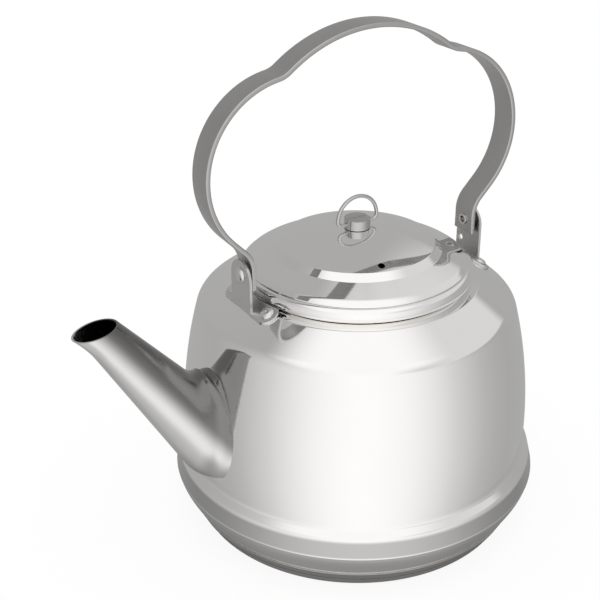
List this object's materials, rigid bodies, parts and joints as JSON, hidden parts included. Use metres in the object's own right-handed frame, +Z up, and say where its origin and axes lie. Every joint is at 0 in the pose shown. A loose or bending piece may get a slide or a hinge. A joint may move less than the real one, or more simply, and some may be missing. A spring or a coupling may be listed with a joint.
{
  "type": "stove kettle",
  "caption": "Stainless stove kettle with a rolled bead above its sandwich base, a cone spout, a lift-off lid with a ringed knob, and a shaped strip bail that swings.",
  "frame": {"origin": "centre of the flat underside that the kettle stands on, on the body's axis", "axes": "+Z up along the body's axis; the spout points along -X; the bail stands in the XZ plane and swings about an axis parallel to X"},
  "size_m": [0.3088, 0.2388, 0.3213],
  "materials": {
    "body_steel": "mirror-polished stainless sheet",
    "core_aluminium": "plain bonded disc, hidden between floor and cap",
    "base_steel": "pressed stainless cap, turned satin",
    "spout_steel": "satin-polished stainless sheet, soft gloss",
    "ear_steel": "tumbled satin stainless",
    "rivet_steel": "bright headed stainless",
    "bail_steel": "stainless strip, brushed along its length",
    "lid_steel": "mirror-polished stainless sheet",
    "collar_steel": "plain rolled sheet inside the lid",
    "knob_steel": "polished turned steel and wire"
  },
  "bodies": {
    "kettle": {"body_shell": "body_steel", "neck_ring": "body_steel", "base_core": "core_aluminium", "base_cap": "base_steel", "spout": "spout_steel", "front_ear": "ear_steel", "rear_ear": "ear_steel", "front_ear_rivets": "rivet_steel", "rear_ear_rivets": "rivet_steel", "front_pivot": "rivet_steel", "rear_pivot": "rivet_steel", "front_washer": "rivet_steel", "rear_washer": "rivet_steel"},
    "bail": {"bail_handle": "bail_steel"},
    "lid": {"lid_shell": "lid_steel", "lid_collar": "collar_steel", "knob": "knob_steel", "knob_screw": "rivet_steel", "knob_washer": "rivet_steel"},
    "ring": {"knob_ring": "knob_steel"}
  },
  "joints": [
    {"name": "bail_swing", "type": "hinge", "parent": "kettle", "child": "bail", "pos_m": [0, 0, 0.181], "axis": [1, 0, 0], "range_deg": [-85, 85]},
    {"name": "lid_lift", "type": "slide", "parent": "kettle", "child": "lid", "axis": [0, 0, 1], "range_m": [0, 0.06]},
    {"name": "knob_ring_swing", "type": "hinge", "parent": "lid", "child": "ring", "pos_m": [0, 0, 0.19643], "axis": [1, 0, 0], "range_deg": [-95, 95]}
  ]
}
